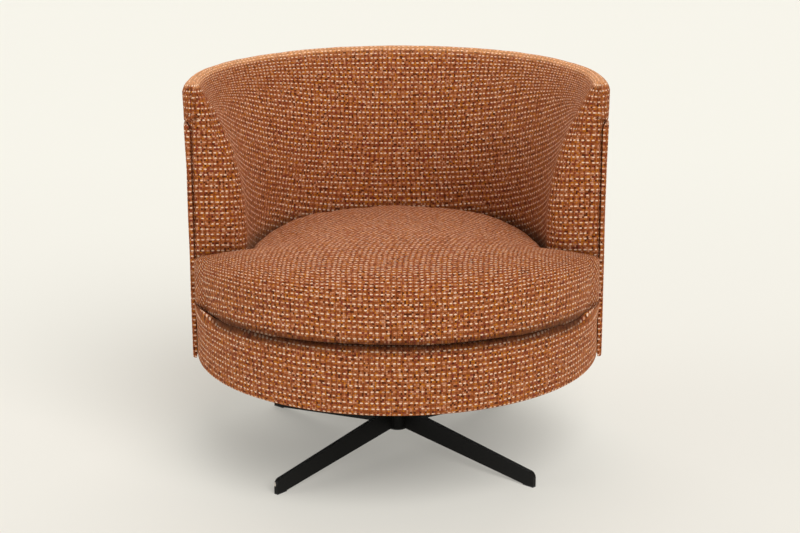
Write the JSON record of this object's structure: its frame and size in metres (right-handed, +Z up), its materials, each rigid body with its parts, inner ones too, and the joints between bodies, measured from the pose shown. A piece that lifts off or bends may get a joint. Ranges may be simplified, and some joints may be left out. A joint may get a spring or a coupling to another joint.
{
  "type": "swivel rocker",
  "caption": "Low round tub swivel rocker in rust tweed: flared padded wall, crowned seat cushion over a drum apron, black blade star base.",
  "frame": {"origin": "on the swivel axis at floor level, under the centre of the round tub", "axes": "+Z up along the swivel axis; -Y is the way the sitter looks; +X to the right seen from the front"},
  "size_m": [0.788, 0.7865, 0.72],
  "materials": {
    "tweed": "nubby woven tweed",
    "foam": "upholstery foam",
    "webbing": "woven elastic webbing",
    "dust_cloth": "black non-woven cloth",
    "plywood": "bent and flat plywood",
    "hardwood": "planed hardwood",
    "black_steel": "satin black powder coat",
    "bright_steel": "zinc plated",
    "spring_steel": "oil tempered",
    "rubber": "moulded",
    "nylon": "moulded",
    "black_plastic": "moulded"
  },
  "bodies": {
    "base": {"base_hub": "black_steel", "leg_front_left": "black_steel", "leg_front_right": "black_steel", "leg_rear_left": "black_steel", "leg_rear_right": "black_steel", "foot_glides": "black_plastic", "hub_cap": "black_plastic", "hub_bush_upper": "nylon", "hub_bush_lower": "nylon", "thrust_washer": "nylon"},
    "swivel": {"swivel_spindle": "bright_steel", "retaining_ring": "spring_steel", "rocker_base_pan": "black_steel", "buffer_front": "rubber", "buffer_rear": "rubber", "rocker_spring_front": "spring_steel", "rocker_spring_rear": "spring_steel"},
    "seat": {"rocker_top_plate": "black_steel", "pivot_pin": "bright_steel", "pin_clip": "spring_steel", "plate_bolts": "bright_steel", "mechanism_rails": "hardwood", "lower_ring": "plywood", "deck_ring": "plywood", "frame_posts": "hardwood", "front_board": "plywood", "tub_shell": "plywood", "arm_post_left": "hardwood", "arm_post_right": "hardwood", "seat_webbing": "webbing", "wall_foam": "foam", "inside_cover": "tweed", "outside_panel": "tweed", "front_apron": "tweed", "cushion_core": "foam", "cushion_cover": "tweed", "dust_cover": "dust_cloth"}
  },
  "joints": [
    {"name": "swivel_turn", "type": "hinge", "parent": "base", "child": "swivel", "pos_m": [0, 0, 0.12], "axis": [0, 0, 1], "continuous": true},
    {"name": "rock", "type": "hinge", "parent": "swivel", "child": "seat", "pos_m": [0, 0, 0.172], "axis": [-1, 0, 0], "range_deg": [-8, 12], "stiffness_Nm_per_rad": 300, "springref_deg": -3.35, "deforming": ["rocker_spring_front", "rocker_spring_rear"]}
  ]
}
